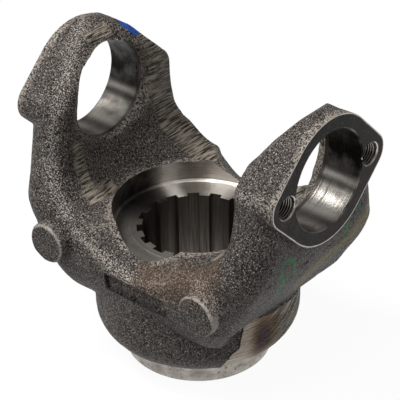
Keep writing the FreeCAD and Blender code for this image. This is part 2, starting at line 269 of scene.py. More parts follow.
def ramp(value, start, end):
    """Rises by 3t^2 - 2t^3 from 0 at the start to 1 at the end."""
    t = np.clip((value - start) / (end - start), 0, 1)
    return t * t * (3 - 2 * t)


AROUND = 25


def from_line(points, line):
    """Distance of points from a broken line: the least over its straight runs. Points more than AROUND
    outside the line's own box get FAR."""
    best = np.full(len(points), FAR)
    line = np.array(line, float)
    near = ((points > line.min(axis=0) - AROUND) & (points < line.max(axis=0) + AROUND)).all(axis=1)
    close = points[near]
    for a, b in zip(line, line[1:]):
        along = np.clip((close - a) @ (b - a) / ((b - a) @ (b - a)), 0, 1)
        best[near] = np.minimum(best[near], np.linalg.norm(close - a - along[:, None] * (b - a), axis=1))
    return best


def from_outline(u, v, corners):
    """Distance of plane points from a closed outline's sides, negative inside it."""
    flat = np.stack([u, v], axis=1)
    closed = np.array([*corners, corners[0]], float)
    inside = np.zeros(len(flat), bool)
    for (ax, ay), (bx, by) in zip(closed, closed[1:]):
        crossed = (ay > v) != (by > v)
        inside ^= crossed & (u < ax + (v - ay) * (bx - ax) / (by - ay if by != ay else 1e-9))
    return np.where(inside, -1, 1) * from_line(flat, closed)


def around_hub(points):
    """Length round the hub in millimetres, from the X axis."""
    return np.arctan2(points[:, 1], points[:, 0]) * HUB_RADIUS


def from_hub_axis(points):
    """Distance from the axis of the spline."""
    return np.hypot(points[:, 0], points[:, 1])


def from_cross_axis(points):
    """Distance from the axis of the cross bores."""
    return np.hypot(points[:, 1], points[:, 2] - CROSS_HEIGHT)


def zones(points, triangles):
    """The finish of each triangle, told by the machined cylinder or plane that holds all its corners. What is
    added to a radius or a height takes in the chamfers and rounds beside it."""
    def every(test):
        return test[triangles].all(axis=1)

    x, z = np.abs(points[:, 0]), points[:, 2]
    hub, cross = from_hub_axis(points), from_cross_axis(points)
    screw = np.hypot(np.abs(points[:, 1]) - SCREW_OFFSET, z - CROSS_HEIGHT)
    zone = np.full(len(triangles), SKIN)
    zone[every(np.abs(x - PAD_REACH) < 0.02)] = MILLED
    zone[every((np.abs(cross - CROSS_RADIUS - 0.3) < 0.6) & (x > BORE_START - 0.2))] = TURNED
    zone[every((screw < SCREW_RADIUS + 0.75) & (x > 54))] = TAPPED
    zone[every((hub < SPLINE_RADIUS + 0.2) & (z < SEAT_HEIGHT + 0.05))] = BROACHED
    seat_wall = (hub > SEAT_RADIUS - 1.4) & (z > SEAT_HEIGHT - 0.05)
    seat_floor = (hub > 27) & (np.abs(z - SEAT_HEIGHT) < 0.05)
    zone[every((hub < SEAT_RADIUS + 0.15) & (seat_wall | seat_floor))] = TURNED
    zone[every((z < SHOULDER_TOP + 0.05) & (hub < SHOULDER_RADIUS + 0.3))] = TURNED
    zone[every((hub < SPLINE_RADIUS + 0.2) & (z < SEAT_HEIGHT - 0.5))] = BROACHED
    return zone


def on_cylinders(points, triangles, zone):
    """Moves points of turned and tapped walls straight out from their axis, on to the true cylinder."""
    points = points.copy()
    screws = [(TAPPED, SCREW_RADIUS, (side * SCREW_OFFSET, CROSS_HEIGHT), [1, 2]) for side in (1, -1)]
    for kind, radius, middle, across in (
            (TURNED, CROSS_RADIUS, (0, CROSS_HEIGHT), [1, 2]),
            (TURNED, NOSE_RADIUS, (0, 0), [0, 1]),
            (TURNED, SHOULDER_RADIUS, (0, 0), [0, 1]),
            (TURNED, SEAT_RADIUS, (0, 0), [0, 1]),
            *screws):
        offset = points[:, across] - middle
        reach = np.linalg.norm(offset, axis=1)
        near = np.abs(reach - radius) < 0.2
        near &= np.isin(np.arange(len(points)), triangles[zone == kind])
        points[np.ix_(near, across)] = np.array(middle) + offset[near] * (radius / reach[near])[:, None]
    return points


def eased(points, pairs, free, rounds):
    """Rounds edges: free points go half way to their neighbours' mean and nearly back again, in turns."""
    points = points.copy()
    for share in (0.5, -0.46) * rounds:
        shift = neighbour_mean(points, pairs, points) - points
        points[free] += share * shift[free]
    return points


def edge_wear(points, pairs, normal):
    """How far each point stands out of the mean of its surroundings, in millimetres: edges are positive."""
    mean = points
    for _ in range(2):
        mean = neighbour_mean(points, pairs, mean)
    out = ((points - mean) * normal).sum(axis=1)
    return neighbour_mean(points, pairs, out[:, None])[:, 0]


# Marks on the forging: each gives a distance in millimetres that is negative inside the mark

PATCH = (
    (-37, 9), (-36.5, 17), (-35.1, 21), (-32.7, 23.6), (-32, 26.8), (-29.3, 27.2), (-27.7, 28.3), (-26.6, 32),
    (-26.1, 35.6), (-25, 41), (-24.3, 42.7), (-21.4, 42.7), (-16.1, 43.4), (-10.5, 42.6), (-4.3, 43.1),
    (1.8, 43.1), (9, 41.8), (19, 40.5), (30, 39.5), (50, 38.5), (58, 30), (56, 9),
)


def ground_patch(points):
    """Flash ground off the hub's right side: an outline of degrees round the hub and height, made ragged."""
    distance = np.full(len(points), FAR)
    near = (points[:, 0] > 25) & (points[:, 2] < 70)
    close = points[near]
    corners = [(turn * PER_DEGREE, height) for turn, height in PATCH]
    inside = from_outline(around_hub(close), close[:, 2], corners)
    distance[near] = inside + 0.45 * noise(close, 2.4, 11) + 0.35 * noise(close, 1.0, 12)
    return distance


PANEL_MIDDLE = (5.21, 56.9)
PANEL_HALF_LENGTH = 18.2
PANEL_HALF_HEIGHT = 4.1
PANEL_LEAN = 0.1


def panel(points):
    """Bare sunk panel on the front flank: a rectangle with leaning ends, as the distance outside it."""
    across = points[:, 2] - PANEL_MIDDLE[1]
    along = points[:, 0] - PANEL_MIDDLE[0] + across * PANEL_LEAN
    outside = np.maximum(np.abs(along) - PANEL_HALF_LENGTH, np.abs(across) - PANEL_HALF_HEIGHT)
    return np.where(points[:, 1] < -40, outside, FAR)


# Where the crease down the back of an ear's inner face runs: heights, and how far back it lies at each
CREASE = ([60, 69.4, 76.6, 87.7, 107.2, 115.8, 130.6, 160], [44, 39.4, 34.1, 30.4, 26.8, 25.5, 25.1, 18])


def sheared_bands(points):
    """Strips where the flash was sheared off: down the back and the front of each ear's inner face, over its
    top and on the ledge below it. Each is a box with ragged sides, and the first follows the crease."""
    x, y, z = np.abs(points[:, 0]), points[:, 1], points[:, 2]
    back = np.maximum.reduce([np.interp(z, *CREASE) - y, x - 68, 79 - z])
    front = np.maximum.reduce([np.abs(y + 28) - 3.4, x - 54, np.abs(z - 97) - 12])
    top = np.maximum.reduce([np.abs(y) - 8, 149.5 - z, x - 66])
    ledge = np.maximum.reduce([np.abs(y + 24) - 11, np.abs(x - 41.5) - 4, np.abs(z - 76) - 10])
    return np.minimum.reduce([back, front, top, ledge]) + 0.6 * noise(points, 3.0, 31)


def pad_edge(points):
    """Distance in from a pad's outline, which is a square on its corner with two sizes of round."""
    y, z = np.abs(points[:, 1]), np.abs(points[:, 2] - CROSS_HEIGHT)
    along = (y - z) / math.sqrt(2)
    big = PAD_ROUND - np.hypot(y, z)
    small = LUG_ROUND - np.hypot(y - SCREW_OFFSET, z)
    side = PAD_ROUND - (y + z) / math.sqrt(2)
    return np.where(along < 0, big, np.where(along > SCREW_OFFSET / math.sqrt(2), small, side))


GREEN_LINES = (
    ((74.8, -24.5, 92.4), (74.6, -22.0, 91.3), (73.9, -18.9, 88.3), (72.7, -16.5, 83.8),
     (71.6, -17.1, 80.3), (70.8, -19.1, 78.2), (70.7, -21.9, 78.0), (72.9, -27.0, 84.4),
     (74.0, -27.8, 88.5), (74.6, -26.4, 91.4), (74.8, -24.5, 92.4)),
    ((70.7, -21.9, 78.0), (69.3, -21.2, 74.4), (66.8, -19.4, 69.5)),
    ((70.2, -22.0, 76.7), (68.0, -22.5, 72.0), (65.5, -22.4, 67.0), (64.3, -23.9, 65.1),
     (61.9, -23.8, 61.1)),
)
# Places and radii of the dabs behind the loop
GREEN_DABS = (
    (75.3, 29.3, 95.6, 1.4), (75.3, 27.4, 95.2, 1.0), (73.7, 21.7, 87.6, 1.9),
    (72.5, 22.8, 84.2, 1.6), (72.0, 21.2, 81.5, 1.3), (71.3, 16.8, 79.5, 1.0),
)


def green_marks(points):
    """A brushed loop with two tails low on the right leg, and dabs behind it."""
    best = np.minimum.reduce([from_line(points, line) - 1.1 for line in GREEN_LINES])
    for *place, radius in GREEN_DABS:
        best = np.minimum(best, np.linalg.norm(points - place, axis=1) - radius)
    return best


# Ridges rubbed lighter, along which the skin also paints a highlight of extra glints
RUBBED_AND_HIGHLIT_LINES = (
    ((-71.5, -0.5, 156.6), (-65.7, -11.9, 153.5), (-60.3, -22.8, 145.8), (-56.2, -31.3, 136.1),
     (-55.3, -38.7, 125.5), (-57.2, -40.1, 116.9), (-57.7, -42.2, 105.7), (-53.9, -44.0, 96.2),
     (-47.0, -47.0, 86.8), (-42.4, -48.6, 81.5)),
    ((-33.2, -51.2, 74.6), (-24.5, -51.9, 72.2), (-17.8, -51.0, 68.3), (-9.6, -50.1, 65.6),
     (-0.2, -50.6, 64.0)),
    ((55.1, -37.6, 128.1), (63.8, -40.6, 127.8), (72.1, -40.5, 128.0)),
    ((42.5, -50.7, 79.2), (48.8, -51.8, 79.8), (53.8, -52.2, 76.7), (57.0, -53.2, 71.5)),
)


def rubbed_and_highlit_ridges(points):
    """Distance from the ridges that handling and blasting have left lighter, and that carry a painted
    highlight.
    """
    return np.minimum.reduce([from_line(points, line) for line in RUBBED_AND_HIGHLIT_LINES])


def blue_mark(points):
    """A dab over the rim at the top of the left ear."""
    return from_line(points, ((-63.5, 17.5, 152.6), (-60.5, 19.5, 149.4), (-58.6, 21.2, 147.6))) - 2.6


def yellow_stain(points):
    """Olive stain down the outer side of the right leg, from its back edge to the middle of its foot."""
    line = ((73.5, 40, 89), (72.2, 36, 82.2), (70.8, 32.6, 78.2), (69.1, 28, 74.1), (68, 19.2, 71.9),
            (67, 11.3, 69.8), (65, 5.4, 66.3), (61.7, 4.6, 60.6))
    return from_line(points, line) - 6 + 2 * noise(points, 5.0, 41)


def lip_stain(points):
    """Brown stain on the bridge in front of the seat."""
    line = ((8.9, -50, 68), (24, -50, 70), (38, -50, 76), (50, -46, 84))
    return from_line(points, line) - 8 + 3 * noise(points, 6.0, 42)


def skin_height(points, sizes):
    """Height of the skin: waves 14 and 6 mm wide, dents where finer noises pass a level, panel and patch."""
    waves = 0.65 * noise(points, 14.0, 1) + 0.35 * noise(points, 6.0, 2)
    pits = ramp(noise(points, 4.2, 3), 0.35, 0.8) + 0.7 * ramp(noise(points, 2.3, 4), 0.4, 0.85)
    height = sizes.swell * 1000 * waves - sizes.dents * 1000 * pits
    inside = panel(points)
    floor = sizes.panel_depth * 1000 * ramp(-inside, -0.2, 0.9)
    lip = 0.4 * np.exp(-((inside - 0.7) / 0.8) ** 2)
    height += np.where(inside < 10, lip - floor * (1 + 0.25 * noise(points, 2.0, 22)), 0)
    inside = ground_patch(points)
    strokes = np.stack([grinding_rise(points) / 1.3, around_hub(points) / 22, 0 * inside], axis=1)
    patch = 0.12 * noise(strokes, 1.0, 21) - sizes.patch_depth * 1000 * ramp(-inside, 0.0, 0.8)
    return np.where(inside < 0, patch, height + 0.25 * ramp(-inside, -1.5, 0.0))


def grinding_rise(points):
    """Height across the grinding lines: level on the left of the patch and climbing to the right."""
    along = around_hub(points)
    return points[:, 2] - 0.1 * along - 0.42 * 5 * np.log1p(np.exp((along + 4) / 5))


def filled_corner(points):
    """Carries the cone at the hub's foot out to an arc that runs from the barrel to the shoulder."""
    drop = HUB_RADIUS - SHOULDER_RADIUS
    rise = math.sqrt(CORNER_ROUND ** 2 - (CORNER_ROUND - drop) ** 2)
    down = np.clip(SHOULDER_TOP + rise - points[:, 2], 0, rise)
    cone = HUB_RADIUS - drop * down / rise
    arc = HUB_RADIUS - CORNER_ROUND + np.sqrt(CORNER_ROUND ** 2 - down ** 2)
    moved = points.copy()
    moved[:, :2] *= (arc / cone)[:, None]
    return moved


# Unit normals of three planes along the rim, and their distances from the origin
RIM_PLANES = (
    (-0.7798, -0.1682, 0.6030, 44.06),
    (-0.7389, -0.0885, 0.6680, 54.70),
    (-0.6860, -0.0066, 0.7275, 66.82),
)


def trimmed_rim(points, fixed):
    """Presses the right ear's inner front rim back by up to 2 mm, to three planes that follow its slope.
    Points of the bore's mouth slide along the bore instead, so that they stay on its wall."""
    ear, fade_from, fade_to = 45, 132, 140
    for *normal, reach in RIM_PLANES:
        over = np.maximum(points @ normal - reach, 0)
        over = over * (points[:, 0] > ear) * ramp(points[:, 2], fade_from, fade_to)
        slid = points + over[:, None] * (-1 / normal[0], 0, 0)
        points = np.where(fixed[:, None], slid, points - over[:, None] * np.array(normal))
    return points


def undercut(points):
    """Brings the leg's foot in to the hub's cylinder over the ground patch. It fades out between two heights
    and between two angles at each end."""
    turn = np.degrees(np.arctan2(points[:, 1], points[:, 0]))
    reach = from_hub_axis(points)
    low, fade_from, fade_to = 28, 43.0, 50.0
    share = (1 - ramp(points[:, 2], fade_from, fade_to)) * ramp(turn, -40, -27) * (1 - ramp(turn, 48, 60))
    over = np.maximum(reach - HUB_RADIUS, 0) * share * (points[:, 2] > low)
    moved = points.copy()
    moved[:, :2] *= (1 - over / np.maximum(reach, 1))[:, None]
    return moved


def boss_relief(points):
    """Rings on and round the front right boss: a step round its face and thin raised arcs at its root."""
    near = np.hypot(points[:, 0] - BOSS_PLACE[0], points[:, 2] - BOSS_PLACE[1])
    front = points[:, 1] < -45
    step = -0.35 * ramp(near, 6.4, 7.2) * (1 - ramp(near, 8.8, 9.4)) * (points[:, 1] < -57)
    arcs = 0.3 * np.exp(-((near - 14.6) / 0.7) ** 2) + 0.2 * np.exp(-((near - 17.4) / 0.6) ** 2)
    arcs = arcs * ramp(points[:, 0] - points[:, 2] + 19.2, 0, 8)
    return (step + arcs) * front


def oil_and_painted_shade(points):
    """Share of dark oil and painted shade on turned faces: a base share on each face, and painted shade that
    is most on the back of each bore, on the left of the seat and in the corner over the nose. Each is a bell
    curve of the angle or the height."""
    x, y, z = points.T
    bore = 0.72 + 0.28 * np.exp(-((np.degrees(np.arctan2(z - CROSS_HEIGHT, y)) - 10) / 36) ** 2)
    seat = 0.15 + 0.7 * np.exp(-((180 - np.abs(np.degrees(np.arctan2(y, x)))) / 35) ** 2)
    nose = 0.1 + 0.25 * np.exp(-((z - 7.1) / 0.6) ** 2)
    return np.where(z > BORES_ABOVE, bore, np.where(z > SEAT_ABOVE, seat, nose))


# Painted highlights, as bright bands on each wall: angle of the middle and half width in degrees, and how
# bright
PAINTED_HIGHLIGHTS = {
    "bore": ((48, 6, 0.35), (-29, 4, 0.6), (-43, 3, 0.2), (-74, 7, 0.3), (-100, 10, 0.3)),
    "seat": ((151, 6, 1.0), (111, 7, 0.9), (60, 14, 0.6)),
    "nose": ((-95, 7, 0.5), (-68, 8, 0.6), (-30, 8, 0.5), (60, 20, 0.4), (150, 20, 0.4)),
}


def painted_highlight(points):
    """Painted highlights: bands of bright turned steel, as bell curves of the angle about the
    wall's own axis.
    """
    x, y, z = points.T
    around_cross = np.degrees(np.arctan2(z - CROSS_HEIGHT, y))
    around_spline = np.degrees(np.arctan2(y, x))

    def bands(angle, name):
        return sum(share * np.exp(-((angle - middle) / width) ** 2) for middle, width, share in PAINTED_HIGHLIGHTS[name])

    low = np.where(z > SEAT_ABOVE, bands(around_spline, "seat"), bands(around_spline, "nose"))
    return np.where(z > BORES_ABOVE, bands(around_cross, "bore"), low)


def boss_rims_worn_and_highlit(points):
    """Distance from the rim of each round boss, which is rubbed and carries a painted highlight: a circle
    that is wider at its upper right, and on the right bosses a broad crescent at the lower right."""
    x, y, z = points.T
    across, rise = x - np.sign(x) * BOSS_PLACE[0], z - BOSS_PLACE[1]
    crescent = ramp(across - rise, 3, 13) * (x > 0)
    away = np.abs(np.hypot(across, rise) - BOSS_RADIUS - 0.9 * crescent)
    width = 0.2 + 0.25 * ramp(across + rise, -4, 9) + 0.3 * crescent
    return np.where(np.abs(y) > 53, away - width, CLEAR)


def skin_share(points):
    """Share of the unevenness at a point: none beside a machined face, all of it 2 mm away."""
    x, z = np.abs(points[:, 0]), points[:, 2]
    seat = np.where(z > SEAT_HEIGHT - 2, np.abs(from_hub_axis(points) - SEAT_RADIUS), CLEAR)
    bore = np.hypot(from_cross_axis(points) - CROSS_RADIUS, np.maximum(BORE_START - x, 0))
    return ramp(np.minimum.reduce([PAD_REACH - x, bore, seat, z - SHOULDER_TOP + 0.2]), 0.0, 2.0)


def raised_crown(points):
    """Fills out the left ear's back shoulder by up to 1.3 mm: a bell curve round the middle of that round."""
    x, y, z = points.T
    return 1.3 * np.exp(-((y - 16) / 11) ** 2 - ((z - 153) / 9) ** 2) * (x < -50)


def side_limit(places, sizes):
    """Longest side allowed at a place: the fine one beside the patch, the panel and the bosses' rims."""
    coarse, fine = sizes.skin_side * 1000, sizes.fine_side * 1000
    boss = np.hypot(np.abs(places[:, 0]) - BOSS_PLACE[0], places[:, 2] - BOSS_PLACE[1])
    boss = np.where(np.abs(places[:, 1]) > 50, np.abs(boss - BOSS_RADIUS), CLEAR)
    near = np.minimum.reduce([np.abs(ground_patch(places)), np.abs(panel(places)), boss])
    return fine + (coarse - fine) * ramp(near, 0.8, 4.0)


def skin_shape(points, triangles, fixed, sizes):
    """The forged skin round the machined faces, whose points are fixed, and how far each point stands out.

    The hub's corner is filled and the ear's rim trimmed, edges are rounded, the leg's foot is brought in, and
    then each point moves along its normal by the height of the skin. No point leaves the solid's box.
    """
    pairs, _ = corner_sides(triangles, len(points))
    shaped = np.where(fixed[:, None], points, filled_corner(points))
    shaped = trimmed_rim(shaped, fixed)
    shaped = eased(shaped, pairs, ~fixed, 7)
    shaped = np.where(fixed[:, None], shaped, undercut(shaped))
    normal = point_normals(shaped, triangles)
    wear = edge_wear(shaped, pairs, normal)
    height = skin_height(shaped, sizes) + boss_relief(shaped) + raised_crown(shaped)
    height = height * skin_share(shaped) * ~fixed
    shaped = shaped + normal * height[:, None]
    inside = np.clip(shaped, CAD_LOW + 0.01, CAD_HIGH - 0.01)
    return np.where(fixed[:, None], shaped, inside), wear


def point_values(points, turned):
    """What the materials read at each point: distances from marks, places along tool lines and shares.

    Tool lines run across turned faces by the distance along the wall's profile, and across the patch and the
    skin by height. The heat tint is a bell curve round a point of the patch, and rust lies low on the nose.
    """
    hub, cross = from_hub_axis(points), from_cross_axis(points)
    turn = np.degrees(np.arctan2(points[:, 1], points[:, 0]))
    in_patch = ground_patch(points)
    outwards = np.abs(points[:, 0])
    in_bore = points[:, 2] > BORES_ABOVE
    rings = np.where(in_bore, outwards + cross, hub + points[:, 2])
    strokes = np.where(in_patch < 6, grinding_rise(points), points[:, 2] + 0.5 * outwards)
    return {
        "ground": in_patch,
        "sheared": sheared_bands(points),
        "green": green_marks(points),
        "blue": blue_mark(points),
        "yellow": yellow_stain(points),
        "lip": lip_stain(points),
        "pad_edge": pad_edge(points),
        "across": np.where(turned, rings, strokes),
        "along": np.where(in_patch < 6, around_hub(points), points[:, 1]),
        "turn": turn,
        # Distance from the rubbed ridges, which also carry a painted highlight
        "rubbed": rubbed_and_highlit_ridges(points),
        "boss_rim_worn_and_highlit": boss_rims_worn_and_highlit(points),
        "panel": panel(points),
        "oil_with_painted_shade": oil_and_painted_shade(points),
        "mouth": np.where(in_bore, outwards - BORE_START, CLEAR) + 0.5 * noise(points, 1.5, 51),
        "rust": np.where(points[:, 2] < 12, 0.1, -0.03),
        "temper": np.exp(-((turn + 11) / 9) ** 2 - ((points[:, 2] - 29) / 16) ** 2),
        "painted_highlight": painted_highlight(points),
        "crest": ramp(outwards, PAD_REACH - 1.2, PAD_REACH - 0.9),
    }


def store(piece, named):
    """Keeps values for each point of a piece under their names, for the materials to read."""
    for name, values in named.items():
        stored = piece.data.attributes.new(name, "FLOAT", "POINT")
        stored.data.foreach_set("value", values.astype(np.float32))


def mesh_object(name, points, triangles, finishes=None):
    """A piece made of triangles given in millimetres, which rides with the yoke."""
    mesh = bpy.data.meshes.new(name)
    mesh.vertices.add(len(points))
    mesh.vertices.foreach_set("co", (points / 1000).astype(np.float32).ravel())
    mesh.loops.add(len(triangles) * 3)
    mesh.loops.foreach_set("vertex_index", triangles.astype(np.int32).ravel())
    mesh.polygons.add(len(triangles))
    mesh.polygons.foreach_set("loop_start", np.arange(0, len(triangles) * 3, 3, dtype=np.int32))
    if finishes is not None:
        mesh.polygons.foreach_set("material_index", finishes.astype(np.int32))
    mesh.update()
    mesh.validate()
    mesh.polygons.foreach_set("use_smooth", np.ones(len(mesh.polygons), bool))
    mesh.set_sharp_from_angle(angle=math.radians(32))
    piece = bpy.data.objects.new(name, mesh)
    bpy.context.scene.collection.objects.link(piece)
    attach(piece, "root")
    return piece


class YOKE_OT_forging(bpy.types.Operator):
    """Makes the forging from the yoke's own surface, with its skin, machined faces and marks"""
    bl_idname = "yoke.forging"
    bl_label = "Forging"

    def execute(self, context):
        sizes = context.scene.yoke_sizes
        points, triangles = cad_surface(NODE)
        points, triangles, zone = halved(
            points, triangles, zones(points, triangles), lambda places: side_limit(places, sizes))
        points = on_cylinders(points, triangles, zone)
        fixed = np.zeros(len(points), bool)
        fixed[triangles[zone != SKIN]] = True
        turned = np.isin(np.arange(len(points)), triangles[zone == TURNED])
        shaped, wear = skin_shape(points, triangles, fixed, sizes)

        piece = mesh_object("forging", shaped, triangles, zone)
        for material in (forge_scale(), turned_steel(), milled_steel(), broached_steel(), tapped_steel()):
            piece.data.materials.append(material)
        store(piece, point_values(np.where(fixed[:, None], points, filled_corner(points)), turned))
        store(piece, {"wear": wear})
        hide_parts(NODE)
        print("forging", len(triangles), "triangles")
        return {"FINISHED"}


# A crest's corners as shares of the pitch along the hole and of the depth inwards
CREST = ((-0.46, 0.0), (-0.09, 1.0), (0.09, 1.0), (0.46, 0.0))
THREAD_START = 0.9
THREAD_LENGTH = 18.0
THREAD_STEPS = 560


def thread_surface(middle, side, pitch, depth):
    """A crest wound down a hole: turn and depth grow together, and a flat topped hat stands inwards. It rises
    over the first 4 radians and sinks again over the last 2."""
    turn = np.linspace(0, THREAD_LENGTH / pitch * 2 * math.pi, THREAD_STEPS)[:, None]
    sideways, inwards = np.array(CREST).T
    fade = ramp(turn, 0, 4) * ramp(turn[-1] - turn, 0, 2)
    radius = SCREW_RADIUS - depth * fade * inwards
    sunk = turn / (2 * math.pi) * pitch + sideways * pitch + THREAD_START
    points = np.stack([
        side * (PAD_REACH - sunk),
        middle + radius * np.cos(turn * side),
        CROSS_HEIGHT + radius * np.sin(turn * side),
    ], axis=-1).reshape(-1, 3)
    index = np.arange(len(points)).reshape(-1, 4)
    a, b, c, d = (part.ravel() for part in (index[:-1, :-1], index[:-1, 1:], index[1:, 1:], index[1:, :-1]))
    return points, np.concatenate([np.stack([a, b, c], axis=1), np.stack([a, c, d], axis=1)])


class YOKE_OT_threads(bpy.types.Operator):
    """Winds a thread down each of the four cap screw holes"""
    bl_idname = "yoke.threads"
    bl_label = "Threads"

    def execute(self, context):
        sizes = context.scene.yoke_sizes
        material = bpy.data.materials["tapped steel"]
        for end, side in (("right", 1), ("left", -1)):
            for face, middle in (("back", SCREW_OFFSET), ("front", -SCREW_OFFSET)):
                points, triangles = thread_surface(
                    middle, side, sizes.thread_pitch * 1000, sizes.thread_depth * 1000)
                piece = mesh_object(f"thread_{end}_{face}", points, triangles)
                store(piece, {"crest": np.tile([top for _, top in CREST], THREAD_STEPS)})
                piece.data.materials.append(material)
        return {"FINISHED"}


# Materials

def add(tree, kind, sockets, output=0, **settings):
    """Adds a node with its settings, sets or links its sockets by identifier, and gives one output."""
    node = tree.nodes.new(kind)
    for name, value in settings.items():
        setattr(node, name, value)
    named = {socket.identifier: socket for socket in node.inputs}
    for name, value in sockets.items():
        if isinstance(value, bpy.types.NodeSocket):
            tree.links.new(value, named[name])
        else:
            named[name].default_value = value
    return node.outputs[output]


def coated(tree, base, *coats):
    """Lays coats of colour over a base. Each coat has its colour and the value that its cover follows.
    Unless both run from 0 to 1, the two values between which the cover changes come next, and then the
    cover at each of them."""
    for colour, value, *limits in coats:
        start, end, first, last = limits or (0.0, 1.0, 0.0, 1.0)
        cover = add(tree, "ShaderNodeMapRange",
                    {"Value": value, "From Min": start, "From Max": end, "To Min": first, "To Max": last})
        base = add(tree, "ShaderNodeMix", {"Factor_Float": cover, "A_Color": base, "B_Color": colour},
                   2, data_type="RGBA")
    return base


def finished(material, tree, shader, **looks):
    """Links what the shader's colour, metal share, roughness and normal follow, and gives the material."""
    for socket, value in looks.items():
        tree.links.new(value, shader.inputs[socket.replace("_", " ")])
    return material


def new_material(name, **constants):
    """A material with its surface shader, whose constants are set on the shader's own sockets."""
    material = bpy.data.materials.new(name)
    material.use_nodes = True
    tree = material.node_tree
    shader = tree.nodes["Principled BSDF"]
    for socket, value in constants.items():
        shader.inputs[socket.replace("_", " ")].default_value = value
    return material, tree, shader


def ragged_mark(tree, name, place, amount, soft):
    """1 inside a mark and 0 outside it: the stored distance, moved by a fine noise, cut off near nothing."""
    stored = add(tree, "ShaderNodeAttribute", {}, "Fac", attribute_name=name)
    fine = add(tree, "ShaderNodeTexNoise", {"Vector": place, "Scale": 900.0, "Detail": 3.0})
    moved = add(tree, "ShaderNodeMath", {"Value": fine, "Value_001": amount, "Value_002": -amount / 2},
                operation="MULTIPLY_ADD")
    total = add(tree, "ShaderNodeMath", {"Value": stored, "Value_001": moved}, operation="ADD")
    return add(tree, "ShaderNodeMapRange",
               {"Value": total, "From Min": -soft, "From Max": soft, "To Min": 1.0, "To Max": 0.0})


def tool_lines(tree, width, length):
    """Lines a width apart and some lengths long: a noise stretched along the stored strokes."""
    across, along = (
        add(tree, "ShaderNodeAttribute", {}, "Fac", attribute_name=name) for name in ("across", "along"))
    x = add(tree, "ShaderNodeMath", {"Value": across, "Value_001": 0.001 / width}, operation="MULTIPLY")
    y = add(tree, "ShaderNodeMath", {"Value": along, "Value_001": 0.001 / length}, operation="MULTIPLY")
    vector = add(tree, "ShaderNodeCombineXYZ", {"X": x, "Y": y})
    return add(tree, "ShaderNodeTexNoise", {"Vector": vector, "Scale": 1.0, "Detail": 2.0, "Roughness": 0.55})


